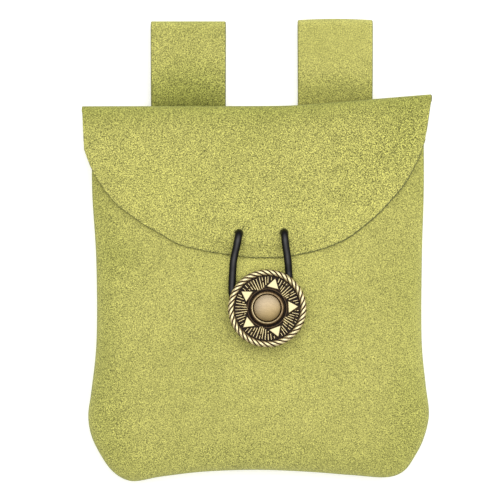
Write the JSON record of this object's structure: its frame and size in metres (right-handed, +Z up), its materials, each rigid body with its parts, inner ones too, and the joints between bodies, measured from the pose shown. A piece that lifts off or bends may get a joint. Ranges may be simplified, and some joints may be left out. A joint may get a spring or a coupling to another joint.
{
  "type": "medieval belt pouch",
  "caption": "Small flat suede belt pouch with a rounded flap, two belt loops behind its top fold, and a round brass button that a leather cord loops under.",
  "frame": {"origin": "on the surface that the pouch lies on, under the middle of the whole pouch", "axes": "+X to the right as the front is seen, +Y towards the belt loops, +Z up out of the front"},
  "size_m": [0.1405, 0.184, 0.0282],
  "materials": {
    "suede": "yellow-green suede",
    "brass": "antique brass, dark in its recesses",
    "cord": "smooth black leather"
  },
  "bodies": {
    "root": {"back_and_flap": "suede", "front_panel": "suede", "belt_loop_left": "suede", "belt_loop_right": "suede", "button": "brass", "closure_cord": "cord", "cord_knot_left": "cord", "cord_knot_right": "cord"}
  },
  "joints": []
}
